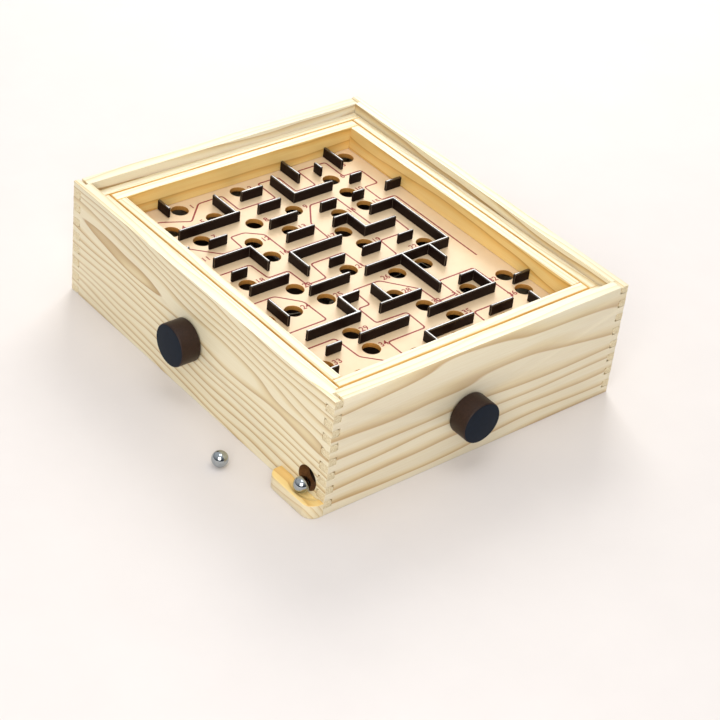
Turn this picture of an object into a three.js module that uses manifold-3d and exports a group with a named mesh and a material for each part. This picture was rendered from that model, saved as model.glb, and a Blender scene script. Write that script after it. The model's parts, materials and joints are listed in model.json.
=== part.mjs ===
// Tilt maze game: a pine box with two nested tilting frames, a maze board with ball holes,
// two knobs whose shafts pull the frames over by cord, a sloping floor and a catch tray.
// Millimetres, +Z up. X runs along the short side of the box and Y along the long side.

import * as THREE from 'three';
import { mergeVertices } from 'three/addons/utils/BufferGeometryUtils.js';
import Module from 'manifold-3d';

const wasm = await Module();
wasm.setup();

// ---- Driving dimensions ----

const BOX = { x: 280, y: 328, z: 100, wall: 9.5 };
const GAP = 0.3; // space kept between pieces that touch
const JOINT = { fingers: 16, sideDeep: 7 }; // corner joint: finger heights, thickness of a side finger

const SWING_GAP = 1.5; // air between box, outer frame and inner frame
const OUTER_RAIL = { wide: 8.3, bottom: 62, top: 92.5 };
const INNER_RAIL = { wide: 8.4, bottom: 66, top: 92.5 };
const PIVOT_Z = 79;
const PIN = { radius: 2, inWall: 5.7, inOuter: 5, inInner: 5.2 };

const BOARD = { bottom: 68, top: 72, tongue: 2.7 };
const BALL_RADIUS = 6.35;
const HOLE_RADIUS = 7;
const STRIP = { wide: 2.4, tall: 9 };
const ROW = 22.3; // spacing of the maze rows along Y
const HOLE_LIFT = 1.7; // hole rows sit this far past the middle between two wall rows

const SHAFT_RADIUS = 3;
const LEFT_SHAFT = { y: 4.4, z: 49.3 };
const FRONT_SHAFT = { x: -12.8, z: 42.3 };
const SHAFT_SEAT = 6.5; // depth of the blind bore that carries a shaft's far end
const KNOB = { radius: 17, long: 17, clear: 1, bore: 12, edge: 1.2 };
const CLIP = { radius: 6.5, thick: 1.2 };

const CORD_RADIUS = 0.5;
const WINDING = { long: 5, thick: 1.5 }; // the turns of cord round a shaft
const OUTER_CORD_X = 80;
const INNER_CORD_Y = -8;
const EYE = { ring: 2.2, wire: 0.7, drop: 4, shank: 6 };
const SPRING = { radius: 1.9, wire: 0.45, long: 16, turns: 7 };

const FLOOR = { thick: 4, low: 10.2, riseX: 6, riseY: 8 };
const EXIT = { y: -143.5, z: 20.3, radius: 10 };
const TRAY = { deep: 13, long: 50, tall: 11.5, corner: 8, dish: 9.5 };
const LOOSE_BALL = { x: -169.3, y: -80.3 };

// ---- Worked out from the driving dimensions ----

const HALF_X = BOX.x / 2;
const HALF_Y = BOX.y / 2;
const OUTER = ringOf(HALF_X - BOX.wall - SWING_GAP, HALF_Y - BOX.wall - SWING_GAP, OUTER_RAIL.wide);
const INNER = ringOf(OUTER.inX - SWING_GAP, OUTER.inY - SWING_GAP, INNER_RAIL.wide);
const TRAY_BALL = { x: -HALF_X - 4.5, y: EXIT.y, z: TRAY.dish + GAP + BALL_RADIUS };
const LOW_X = LOOSE_BALL.x - BALL_RADIUS;
const LOW_Y = -HALF_Y - KNOB.clear - KNOB.long;

function ringOf(x, y, wide) {
  return { x, y, inX: x - wide, inY: y - wide };
}

// ---- Maze layout, from the centre of the board ----

// Ball holes, one line per hole row: the row's number, then each hole's x.
const HOLE_ROWS = [
  [5.5, -67, -10, 99],
  [4.5, -90, -49, 67],
  [3.5, -77, -27, 12, 67],
  [2.5, -100.5, -44, -8, 41, 67],
  [1.5, -43, 27],
  [0.5, -82, 31],
  [-0.5, -54.5, -3, 73.5],
  [-1.5, -98, -73, -42, 27, 53.5],
  [-2.5, 6.5],
  [-3.5, -53, 17.5, 61, 98],
  [-4.5, -95.5, -52.5, 28.5, 98],
  [-5.5, -78, -26, 13, 62],
];

// Maze strips: each piece is one or more straight runs, x and row number at both ends.
const STRIPS = {
  maze_wall_01: [[-92.5, 4, -35, 4], [-38.5, 4, -38.5, 5.3]],
  maze_wall_02: [[-17, 4, 5, 4]],
  maze_wall_03: [[-17.5, 5, 3.5, 5]],
  maze_wall_04: [[-22, 3, 5, 3]],
  maze_wall_05: [[-91.5, 2, -57.5, 2], [-57.5, 2, -57.5, 0.95]],
  maze_wall_06: [[-90, 0, -54, 0]],
  maze_wall_07: [[-35.5, 0, -35.5, 1], [-35.5, 1, 14.5, 1]],
  maze_wall_08: [[19, 5.35, 19, 4], [19, 4, 57.5, 4]],
  maze_wall_09: [[40, 5, 40, 6]],
  maze_wall_10: [[84.5, 5, 84.5, 6]],
  maze_wall_11: [[28, 3, 44, 3]],
  maze_wall_12: [[95, 3, 110.5, 3]],
  maze_wall_13: [[-22, 2, 4.5, 2]],
  maze_wall_14: [[23.5, 2, 38, 2], [38, 2, 38, 1], [38, 1, 68.5, 1]],
  maze_wall_15: [[2.5, -1, 84.5, -1], [84.5, -1, 84.5, 2], [61, 2, 84.5, 2],
    [38, -1, 38, -3.05], [65.5, -1, 65.5, -1.9]],
  maze_wall_16: [[9, -4, 75.5, -4], [72.5, -4, 72.5, -3.05], [58, -3.05, 72.5, -3.05]],
  maze_wall_17: [[-88, -0.95, -88, -2]],
  maze_wall_18: [[-51, -1, -13, -1]],
  maze_wall_19: [[-88, -3, -38, -3], [-40.5, -3, -40.5, -2], [-40.5, -2, -22, -2]],
  maze_wall_20: [[-19.5, -3, 20.5, -3], [-7.5, -3, -7.5, -1.95]],
  maze_wall_21: [[-57, -4, -10, -4]],
  maze_wall_22: [[-12.5, -5.95, -12.5, -5], [-12.5, -5, 34, -5]],
  maze_wall_23: [[51, -5, 73.5, -5]],
  maze_wall_24: [[90.5, -6, 90.5, -5.05]],
  maze_wall_25: [[95, -4, 110.5, -4]],
};

// ---- Solids ----

function solidOf(geometry) {
  const plain = geometry.index ? geometry.clone() : geometry;
  plain.deleteAttribute('normal');
  plain.deleteAttribute('uv');
  const merged = mergeVertices(plain, 1e-4);
  const mesh = new wasm.Mesh({
    numProp: 3,
    vertProperties: new Float32Array(merged.attributes.position.array),
    triVerts: new Uint32Array(merged.index.array),
  });
  return new wasm.Manifold(mesh);
}

function geometryOf(solid) {
  const mesh = solid.getMesh();
  const geometry = new THREE.BufferGeometry();
  geometry.setAttribute('position', new THREE.BufferAttribute(mesh.vertProperties, 3));
  geometry.setIndex(new THREE.BufferAttribute(mesh.triVerts, 1));
  return geometry;
}

function block(low, high) {
  const size = high.map((value, axis) => value - low[axis]);
  const geometry = new THREE.BoxGeometry(...size);
  geometry.translate(...low.map((value, axis) => value + size[axis] / 2));
  return solidOf(geometry);
}

function span(a, b) {
  return a < b ? [a, b] : [b, a];
}

// A round bar of radius r along 'x', 'y' or 'z', from one coordinate to another.
function bar(axis, r, from, to, across, sides = 20) {
  const geometry = new THREE.CylinderGeometry(r, r, to - from, sides);
  const middle = (from + to) / 2;
  if (axis === 'x') {
    geometry.rotateZ(Math.PI / 2);
    geometry.translate(middle, across[0], across[1]);
  } else if (axis === 'y') {
    geometry.translate(across[0], middle, across[1]);
  } else {
    geometry.rotateX(Math.PI / 2);
    geometry.translate(across[0], across[1], middle);
  }
  return solidOf(geometry);
}

// A straight round rod between two points.
function rod(start, end, r, sides = 6) {
  const from = new THREE.Vector3(...start);
  const along = new THREE.Vector3(...end).sub(from);
  const geometry = new THREE.CylinderGeometry(r, r, along.length(), sides);
  geometry.translate(0, along.length() / 2, 0);
  const turn = new THREE.Quaternion().setFromUnitVectors(new THREE.Vector3(0, 1, 0), along.normalize());
  geometry.applyQuaternion(turn);
  geometry.translate(from.x, from.y, from.z);
  return solidOf(geometry);
}

function union(solids) {
  return solids.reduce((whole, solid) => whole.add(solid));
}

// ---- Finishes ----

const PINE = new THREE.MeshStandardMaterial({ color: 0xe9d9b0, roughness: 0.55, metalness: 0 });
const BEECH = new THREE.MeshStandardMaterial({ color: 0xf2e4c4, roughness: 0.5, metalness: 0 });
const BOARD_PRINT = new THREE.MeshStandardMaterial({ color: 0xf0d9c0, roughness: 0.45, metalness: 0 });
const BLACK_STRIP = new THREE.MeshStandardMaterial({ color: 0x2a1a18, roughness: 0.25, metalness: 0 });
const KNOB_BLACK = new THREE.MeshStandardMaterial({ color: 0x2b1d18, roughness: 0.35, metalness: 0 });
const STEEL = new THREE.MeshStandardMaterial({ color: 0xb9bcc0, roughness: 0.2, metalness: 1 });
const TRAY_PINE = new THREE.MeshStandardMaterial({ color: 0xe8c67c, roughness: 0.5, metalness: 0 });
const FIBREBOARD = new THREE.MeshStandardMaterial({ color: 0xb98f5c, roughness: 0.7, metalness: 0 });
const CORD_WHITE = new THREE.MeshStandardMaterial({ color: 0xe6e0d2, roughness: 0.8, metalness: 0 });

const group = new THREE.Group();
group.position.set(-(LOW_X + HALF_X) / 2, -(LOW_Y + HALF_Y) / 2, 0);

function addPiece(name, solid, material) {
  const piece = new THREE.Mesh(geometryOf(solid), material);
  piece.name = name;
  group.add(piece);
}

// ---- The box ----

// Leaves every second finger at both ends of a wall, along 'x' or 'y'. One pair of walls keeps
// the fingers that the other pair gives up. A finger's inner edge is a half round, so a small
// crescent stays open between it and the square root of the notch that it fills.
function cutFingers(wall, along, half, keepsEven) {
  const step = BOX.z / JOINT.fingers;
  const round = step / 2 - GAP / 2;
  const notchDeep = along === 'x' ? JOINT.sideDeep : BOX.wall;
  const fingerDeep = along === 'x' ? BOX.wall : JOINT.sideDeep;
  const far = along === 'x' ? HALF_Y : HALF_X;
  const place = (ends, across, low, high) => (along === 'x'
    ? block([ends[0], across[0], low], [ends[1], across[1], high])
    : block([across[0], ends[0], low], [across[1], ends[1], high]));
  let cut = wall;
  for (let i = 0; i < JOINT.fingers; i += 1) {
    const kept = (i % 2 === 0) === keepsEven;
    const low = i === 0 ? -1 : i * step - GAP / 2;
    const high = i === JOINT.fingers - 1 ? BOX.z + 1 : (i + 1) * step + GAP / 2;
    for (const side of [-1, 1]) {
      if (!kept) {
        const ends = span(side * (half - notchDeep - GAP), side * (half + 1));
        cut = cut.subtract(place(ends, [-far - 1, far + 1], low, high));
        continue;
      }
      const ends = span(side * (half - BOX.wall), side * (half + 1));
      for (const face of [-1, 1]) {
        const edge = face * (far - fingerDeep + round);
        const across = span(edge, face * (far - BOX.wall - 1));
        const rounding = bar(along, round, ends[0], ends[1], [edge, (i + 0.5) * step], 12);
        cut = cut.subtract(place(ends, across, low, high).subtract(rounding));
      }
    }
  }
  return cut;
}

function frontOrBackWall(side) {
  const faces = span(side * HALF_Y, side * (HALF_Y - BOX.wall));
  const wall = block([-HALF_X, faces[0], 0], [HALF_X, faces[1], BOX.z]);
  return cutFingers(wall, 'x', HALF_X, true);
}

function sideWall(side) {
  const faces = span(side * HALF_X, side * (HALF_X - BOX.wall));
  const wall = block([faces[0], -HALF_Y, 0], [faces[1], HALF_Y, BOX.z]);
  return cutFingers(wall, 'y', HALF_Y, false);
}

function addBox() {
  const bore = SHAFT_RADIUS + GAP;
  const inFront = [FRONT_SHAFT.x, FRONT_SHAFT.z];
  const inLeft = [LEFT_SHAFT.y, LEFT_SHAFT.z];
  const innerX = HALF_X - BOX.wall;
  const innerY = HALF_Y - BOX.wall;

  const front = frontOrBackWall(-1).subtract(bar('y', bore, -HALF_Y - 1, -innerY + 1, inFront));
  addPiece('front_wall', front, PINE);
  const back = frontOrBackWall(1).subtract(bar('y', bore, innerY - 1, innerY + SHAFT_SEAT, inFront));
  addPiece('back_wall', back, PINE);

  const pinHole = PIN.inWall + GAP;
  const left = sideWall(-1)
    .subtract(bar('x', bore, -HALF_X - 1, -innerX + 1, inLeft))
    .subtract(bar('x', PIN.radius + GAP, -innerX - pinHole, -innerX + 1, [0, PIVOT_Z]))
    .subtract(bar('x', EXIT.radius, -HALF_X - 1, -innerX + 1, [EXIT.y, EXIT.z], 32));
  addPiece('left_wall', left, PINE);
  const right = sideWall(1)
    .subtract(bar('x', bore, innerX - 1, innerX + SHAFT_SEAT, inLeft))
    .subtract(bar('x', PIN.radius + GAP, innerX - 1, innerX + pinHole, [0, PIVOT_Z]));
  addPiece('right_wall', right, PINE);
}

// The floor is a panel that rises from the exit corner along X and along Y.
function addFloor() {
  const x = HALF_X - BOX.wall - GAP;
  const y = HALF_Y - BOX.wall - GAP;
  const geometry = new THREE.BoxGeometry(2 * x, 2 * y, FLOOR.thick);
  const points = geometry.attributes.position;
  for (let i = 0; i < points.count; i += 1) {
    const alongX = (points.getX(i) + x) / (2 * x);
    const alongY = (points.getY(i) + y) / (2 * y);
    const rise = FLOOR.riseX * alongX + FLOOR.riseY * alongY;
    points.setZ(i, points.getZ(i) + FLOOR.low - FLOOR.thick / 2 + rise);
  }
  addPiece('sloping_floor', solidOf(geometry), FIBREBOARD);
}

// The tray lies against the left wall below the exit hole, with a shallow oval dish.
function addTray() {
  const near = -HALF_X - GAP;
  const far = -HALF_X - TRAY.deep;
  const end = -HALF_Y + TRAY.long;
  const outline = new THREE.Shape();
  outline.moveTo(near, -HALF_Y);
  outline.lineTo(near, end);
  outline.lineTo(far + TRAY.corner, end);
  outline.absarc(far + TRAY.corner, end - TRAY.corner, TRAY.corner, Math.PI / 2, Math.PI, false);
  outline.lineTo(far, -HALF_Y + TRAY.corner);
  outline.absarc(far + TRAY.corner, -HALF_Y + TRAY.corner, TRAY.corner, Math.PI, 1.5 * Math.PI, false);
  outline.closePath();
  const plate = new THREE.ExtrudeGeometry(outline, { depth: TRAY.tall, bevelEnabled: false, curveSegments: 10 });

  const dish = new THREE.Shape();
  const wide = TRAY.deep - 2;
  dish.absarc(0, 8, wide, 0, Math.PI, false);
  dish.absarc(0, -8, wide, Math.PI, 2 * Math.PI, false);
  dish.closePath();
  const hollow = new THREE.ExtrudeGeometry(dish, { depth: TRAY.tall, bevelEnabled: false, curveSegments: 16 });
  hollow.translate(-HALF_X, EXIT.y, TRAY.dish);
  addPiece('catch_tray', solidOf(plate).subtract(solidOf(hollow)), TRAY_PINE);
}

// ---- The two tilting frames ----

function ringRail(ring, rail, side, along) {
  const low = rail.bottom;
  const high = rail.top;
  if (along === 'x') {
    const y = span(side * ring.inY, side * ring.y);
    return block([-ring.x, y[0], low], [ring.x, y[1], high]);
  }
  const x = span(side * ring.inX, side * ring.x);
  return block([x[0], -ring.inY + GAP, low], [x[1], ring.inY - GAP, high]);
}

// A screw eye under a rail: a ring of wire in line with the pull of the cord, and its shank.
function screwEye(x, y, railBottom, pullsAlong) {
  const ring = new THREE.TorusGeometry(EYE.ring, EYE.wire, 6, 12);
  if (pullsAlong === 'x') ring.rotateX(Math.PI / 2);
  if (pullsAlong === 'y') ring.rotateY(Math.PI / 2);
  ring.translate(x, y, railBottom - EYE.drop);
  const shankFoot = railBottom - EYE.drop + EYE.ring;
  return solidOf(ring).add(bar('z', EYE.wire, shankFoot, railBottom + EYE.shank, [x, y], 8));
}

function eyeHole(x, y, railBottom) {
  return bar('z', EYE.wire + GAP, railBottom - 1, railBottom + EYE.shank + GAP, [x, y], 8);
}

function addOuterFrame() {
  const hookY = (OUTER.y + OUTER.inY) / 2;
  const pinHole = PIN.inOuter + GAP;
  for (const [name, side] of [['front', -1], ['back', 1]]) {
    const ends = span(side * (OUTER.inY - 1), side * (OUTER.inY + pinHole));
    const rail = ringRail(OUTER, OUTER_RAIL, side, 'x')
      .subtract(bar('y', PIN.radius + GAP, ends[0], ends[1], [0, PIVOT_Z]))
      .subtract(eyeHole(OUTER_CORD_X, side * hookY, OUTER_RAIL.bottom));
    addPiece(`outer_rail_${name}`, rail, BEECH);
    addPiece(`outer_eye_${name}`, screwEye(OUTER_CORD_X, side * hookY, OUTER_RAIL.bottom, 'y'), STEEL);
  }
  for (const [name, side] of [['left', -1], ['right', 1]]) {
    const ends = span(side * (OUTER.x + 1), side * (OUTER.x - pinHole));
    const rail = ringRail(OUTER, OUTER_RAIL, side, 'y')
      .subtract(bar('x', PIN.radius + GAP, ends[0], ends[1], [0, PIVOT_Z]));
    addPiece(`outer_rail_${name}`, rail, BEECH);
  }
}

// The inner rails hold the maze board in a groove.
function addInnerFrame() {
  const reachX = INNER.inX + BOARD.tongue + GAP;
  const reachY = INNER.inY + BOARD.tongue + GAP;
  const groove = block([-reachX, -reachY, BOARD.bottom - GAP], [reachX, reachY, BOARD.top + GAP]);
  const hookX = (INNER.x + INNER.inX) / 2;
  const pinHole = PIN.inInner + GAP;
  for (const [name, side] of [['front', -1], ['back', 1]]) {
    const ends = span(side * (INNER.y + 1), side * (INNER.y - pinHole));
    const rail = ringRail(INNER, INNER_RAIL, side, 'x')
      .subtract(groove)
      .subtract(bar('y', PIN.radius + GAP, ends[0], ends[1], [0, PIVOT_Z]));
    addPiece(`inner_rail_${name}`, rail, BEECH);
  }
  for (const [name, side] of [['left', -1], ['right', 1]]) {
    const rail = ringRail(INNER, INNER_RAIL, side, 'y')
      .subtract(groove)
      .subtract(eyeHole(side * hookX, INNER_CORD_Y, INNER_RAIL.bottom));
    addPiece(`inner_rail_${name}`, rail, BEECH);
    addPiece(`inner_eye_${name}`, screwEye(side * hookX, INNER_CORD_Y, INNER_RAIL.bottom, 'x'), STEEL);
  }
}

function addPivotPins() {
  const wallX = HALF_X - BOX.wall;
  for (const [name, side] of [['left', -1], ['right', 1]]) {
    const ends = span(side * (wallX + PIN.inWall), side * (OUTER.x - PIN.inOuter));
    addPiece(`outer_pivot_${name}`, bar('x', PIN.radius, ends[0], ends[1], [0, PIVOT_Z], 16), STEEL);
  }
  for (const [name, side] of [['front', -1], ['back', 1]]) {
    const ends = span(side * (OUTER.inY + PIN.inOuter), side * (INNER.y - PIN.inInner));
    addPiece(`inner_pivot_${name}`, bar('y', PIN.radius, ends[0], ends[1], [0, PIVOT_Z], 16), STEEL);
  }
}

// ---- Maze board and its strips ----

function addBoard() {
  const x = INNER.inX + BOARD.tongue;
  const y = INNER.inY + BOARD.tongue;
  const outline = new THREE.Shape();
  outline.moveTo(-x, -y);
  outline.lineTo(x, -y);
  outline.lineTo(x, y);
  outline.lineTo(-x, y);
  outline.closePath();
  for (const [row, ...columns] of HOLE_ROWS) {
    for (const column of columns) {
      const hole = new THREE.Path();
      hole.absarc(column, row * ROW + HOLE_LIFT, HOLE_RADIUS, 0, 2 * Math.PI, true);
      outline.holes.push(hole);
    }
  }
  const thick = BOARD.top - BOARD.bottom;
  const plate = new THREE.ExtrudeGeometry(outline, { depth: thick, bevelEnabled: false, curveSegments: 7 });
  plate.translate(0, 0, BOARD.bottom);
  addPiece('maze_board', solidOf(plate), BOARD_PRINT);
}

function stripRun([x0, row0, x1, row1]) {
  const half = STRIP.wide / 2;
  const limit = INNER.inY - GAP;
  const y0 = THREE.MathUtils.clamp(row0 * ROW, -limit + half, limit - half);
  const y1 = THREE.MathUtils.clamp(row1 * ROW, -limit + half, limit - half);
  const upright = x0 === x1;
  const endX = upright ? half : 0;
  const endY = half;
  const low = [Math.min(x0, x1) - endX, Math.min(y0, y1) - endY, BOARD.top + GAP];
  const high = [Math.max(x0, x1) + endX, Math.max(y0, y1) + endY, BOARD.top + GAP + STRIP.tall];
  return block(low, high);
}

function addStrips() {
  for (const [name, runs] of Object.entries(STRIPS)) {
    addPiece(name, union(runs.map(stripRun)), BLACK_STRIP);
  }
}

// ---- Knobs, shafts and clips ----

// Half the knob's section: a straight barrel with rounded edges and a blind bore.
function knobSolid() {
  const { radius, long, edge, bore } = KNOB;
  const hole = SHAFT_RADIUS + GAP;
  const profile = [
    [0, bore], [hole, bore], [hole, 0], [radius - edge, 0], [radius, edge],
    [radius, long - edge], [radius - edge * 0.3, long - edge * 0.3], [radius - edge, long], [0, long],
  ];
  const turned = new THREE.LatheGeometry(profile.map(([r, along]) => new THREE.Vector2(r, along)), 32);
  return turned;
}

function addLeftDrive() {
  const wallFace = -HALF_X;
  const centre = [LEFT_SHAFT.y, LEFT_SHAFT.z];
  const knobFoot = wallFace - KNOB.clear;
  const knob = knobSolid();
  knob.rotateZ(Math.PI / 2);
  knob.translate(knobFoot, ...centre);
  addPiece('left_knob', solidOf(knob), KNOB_BLACK);

  const far = HALF_X - BOX.wall + SHAFT_SEAT - GAP;
  const near = knobFoot - KNOB.bore + GAP;
  addPiece('left_shaft', bar('x', SHAFT_RADIUS, near, far, centre), STEEL);

  const clipFoot = wallFace + BOX.wall + GAP;
  const clip = bar('x', CLIP.radius, clipFoot, clipFoot + CLIP.thick, centre)
    .subtract(bar('x', SHAFT_RADIUS + GAP, clipFoot - 1, clipFoot + CLIP.thick + 1, centre));
  addPiece('left_shaft_clip', clip, STEEL);
}

function addFrontDrive() {
  const wallFace = -HALF_Y;
  const centre = [FRONT_SHAFT.x, FRONT_SHAFT.z];
  const knobFoot = wallFace - KNOB.clear;
  const knob = knobSolid();
  knob.rotateZ(Math.PI);
  knob.translate(centre[0], knobFoot, centre[1]);
  addPiece('front_knob', solidOf(knob), KNOB_BLACK);

  const far = HALF_Y - BOX.wall + SHAFT_SEAT - GAP;
  const near = knobFoot - KNOB.bore + GAP;
  addPiece('front_shaft', bar('y', SHAFT_RADIUS, near, far, centre), STEEL);

  const clipFoot = wallFace + BOX.wall + GAP;
  const clip = bar('y', CLIP.radius, clipFoot, clipFoot + CLIP.thick, centre)
    .subtract(bar('y', SHAFT_RADIUS + GAP, clipFoot - 1, clipFoot + CLIP.thick + 1, centre));
  addPiece('front_shaft_clip', clip, STEEL);
}

// ---- Cords and their tension springs ----

const CORD_DROP = SHAFT_RADIUS + GAP + WINDING.thick / 2; // shaft centre to strand centre

// One cord comes from an eye to the underside of its shaft, takes a few turns round it,
// and goes on to the eye on the other side. 'place' turns (along, height, turn) into a point.
function cordSolid(place, axis, shaft, ends, windingAt) {
  const inside = SHAFT_RADIUS + GAP;
  const from = windingAt - WINDING.long / 2;
  const to = windingAt + WINDING.long / 2;
  const across = [shaft.at, shaft.z];
  const winding = bar(axis, inside + WINDING.thick, from, to, across, 16)
    .subtract(bar(axis, inside, from - 1, to + 1, across, 16));
  const strands = ends.map(([along, height], i) => {
    const turn = (i - 0.5) * WINDING.long / 2;
    const start = place(shaft.at, shaft.z - CORD_DROP, turn);
    return rod(start, place(along, height, turn), CORD_RADIUS);
  });
  return union([winding, ...strands]);
}

// The point on a strand that is 'back' short of its eye.
function strandEnd(shaft, eyeAt, eyeHeight, back) {
  const tangent = shaft.z - CORD_DROP;
  const run = eyeAt - shaft.at;
  const climb = eyeHeight - tangent;
  const share = 1 - back / Math.hypot(run, climb);
  return [shaft.at + run * share, tangent + climb * share];
}

class Coil extends THREE.Curve {
  constructor(start, end) {
    super();
    this.start = new THREE.Vector3(...start);
    this.along = new THREE.Vector3(...end).sub(this.start);
    this.side = new THREE.Vector3(0, 0, 1).cross(this.along).normalize();
    this.up = this.along.clone().cross(this.side).normalize();
  }

  getPoint(t, target = new THREE.Vector3()) {
    const angle = 2 * Math.PI * SPRING.turns * t;
    return target.copy(this.start)
      .addScaledVector(this.along, t)
      .addScaledVector(this.side, SPRING.radius * Math.cos(angle))
      .addScaledVector(this.up, SPRING.radius * Math.sin(angle));
  }
}

function springSolid(start, end) {
  const wire = new THREE.Shape();
  wire.absarc(0, 0, SPRING.wire, 0, 2 * Math.PI, false);
  const options = { steps: SPRING.turns * 7, curveSegments: 3, bevelEnabled: false };
  options.extrudePath = new Coil(start, end);
  return solidOf(new THREE.ExtrudeGeometry(wire, options));
}

function addCord(name, eyeReach, eyeHeight, shaft, place, axis, windingAt) {
  const clear = EYE.ring + EYE.wire + GAP;
  const sprung = strandEnd(shaft, eyeReach, eyeHeight, clear + SPRING.long + 2 * GAP);
  const plain = strandEnd(shaft, -eyeReach, eyeHeight, clear);
  const cord = cordSolid(place, axis, shaft, [sprung, plain], windingAt);
  addPiece(`${name}_cord`, cord, CORD_WHITE);
  const springFoot = strandEnd(shaft, eyeReach, eyeHeight, clear + SPRING.long);
  const springHead = strandEnd(shaft, eyeReach, eyeHeight, clear + SPRING.wire);
  const turn = -WINDING.long / 4;
  addPiece(`${name}_spring`, springSolid(place(...springFoot, turn), place(...springHead, turn)), STEEL);
}

function addCords() {
  const outerShaft = { at: LEFT_SHAFT.y, z: LEFT_SHAFT.z };
  const outerPlace = (along, height, turn) => [OUTER_CORD_X + turn, along, height];
  const outerReach = (OUTER.y + OUTER.inY) / 2;
  const outerHeight = OUTER_RAIL.bottom - EYE.drop;
  addCord('outer', outerReach, outerHeight, outerShaft, outerPlace, 'x', OUTER_CORD_X);

  const innerShaft = { at: FRONT_SHAFT.x, z: FRONT_SHAFT.z };
  const innerPlace = (along, height, turn) => [along, INNER_CORD_Y + turn, height];
  const innerReach = (INNER.x + INNER.inX) / 2;
  const innerHeight = INNER_RAIL.bottom - EYE.drop;
  addCord('inner', innerReach, innerHeight, innerShaft, innerPlace, 'y', INNER_CORD_Y);
}

// ---- Balls ----

function addBall(name, { x, y, z = BALL_RADIUS }) {
  const sphere = new THREE.SphereGeometry(BALL_RADIUS, 18, 12);
  sphere.rotateX(Math.PI / 2);
  sphere.translate(x, y, z);
  addPiece(name, solidOf(sphere), STEEL);
}

addBox();
addFloor();
addTray();
addOuterFrame();
addInnerFrame();
addPivotPins();
addBoard();
addStrips();
addLeftDrive();
addFrontDrive();
addCords();
addBall('steel_ball_tray', TRAY_BALL);
addBall('steel_ball_loose', LOOSE_BALL);

export default group;
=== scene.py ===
"""A tilt maze game: a pine box, two nested tilting frames, a maze board with ball holes,
two knobs that tilt the board by cord, a sloping floor, a catch tray and two steel balls.

It is laid out as an add-on and is run as a script. Lengths are in metres and +Z is up.
X runs along the box's short side and Y along its long side.
"""

import json
import math

import bmesh
import bpy
import numpy as np
from mathutils import Euler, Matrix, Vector

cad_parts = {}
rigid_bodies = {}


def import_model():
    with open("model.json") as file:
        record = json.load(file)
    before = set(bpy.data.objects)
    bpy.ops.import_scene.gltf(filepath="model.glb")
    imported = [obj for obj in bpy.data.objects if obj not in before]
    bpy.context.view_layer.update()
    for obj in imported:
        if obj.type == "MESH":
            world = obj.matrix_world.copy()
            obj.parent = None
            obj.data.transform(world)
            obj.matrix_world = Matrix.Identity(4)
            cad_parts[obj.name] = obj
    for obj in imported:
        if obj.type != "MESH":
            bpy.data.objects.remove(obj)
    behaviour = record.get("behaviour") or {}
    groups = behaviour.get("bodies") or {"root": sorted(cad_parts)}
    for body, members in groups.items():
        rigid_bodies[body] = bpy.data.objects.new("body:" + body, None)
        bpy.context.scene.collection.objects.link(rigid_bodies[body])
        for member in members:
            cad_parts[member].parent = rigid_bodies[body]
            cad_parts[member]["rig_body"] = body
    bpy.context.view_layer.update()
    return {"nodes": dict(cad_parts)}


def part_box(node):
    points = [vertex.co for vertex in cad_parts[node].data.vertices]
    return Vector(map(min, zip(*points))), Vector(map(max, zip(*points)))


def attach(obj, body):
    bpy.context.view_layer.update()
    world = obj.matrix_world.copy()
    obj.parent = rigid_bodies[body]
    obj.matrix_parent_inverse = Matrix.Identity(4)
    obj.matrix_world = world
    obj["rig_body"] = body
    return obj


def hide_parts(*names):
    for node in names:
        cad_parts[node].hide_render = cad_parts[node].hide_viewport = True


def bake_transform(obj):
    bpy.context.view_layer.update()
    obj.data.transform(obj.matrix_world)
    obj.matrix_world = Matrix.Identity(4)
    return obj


bl_info = {
    "name": "Tilt Maze Game",
    "version": (1, 0, 0),
    "blender": (4, 5, 0),
    "location": "View3D > Sidebar > Tilt Maze",
    "description": "Builds the visible pieces of a wooden tilt maze game on its packed frame",
    "category": "Add Mesh",
}

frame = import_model()
NODES = frame["nodes"]

MM = 0.001
WALLS = ("front_wall", "back_wall", "left_wall", "right_wall")
BOX_LOW = Vector([min(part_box(wall)[0][axis] for wall in WALLS) for axis in range(3)])
BOX_HIGH = Vector([max(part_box(wall)[1][axis] for wall in WALLS) for axis in range(3)])
CENTRE = (BOX_LOW + BOX_HIGH) / 2
BOARD_LOW, BOARD_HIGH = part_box("maze_board")

# Maze rows lie this far apart. A hole row sits a little past the middle between two wall rows.
ROW = 22.3 * MM
HOLE_LIFT = 1.7 * MM

# Ball holes, one line per hole row: the row's number, then each hole's x from the middle, in mm.
HOLE_ROWS = (
    (5.5, -67, -10, 99),
    (4.5, -90, -49, 67),
    (3.5, -77, -27, 12, 67),
    (2.5, -100.5, -44, -8, 41, 67),
    (1.5, -43, 27),
    (0.5, -82, 31),
    (-0.5, -54.5, -3, 73.5),
    (-1.5, -98, -73, -42, 27, 53.5),
    (-2.5, 6.5),
    (-3.5, -53, 17.5, 61, 98),
    (-4.5, -95.5, -52.5, 28.5, 98),
    (-5.5, -78, -26, 13, 62),
)

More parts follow.
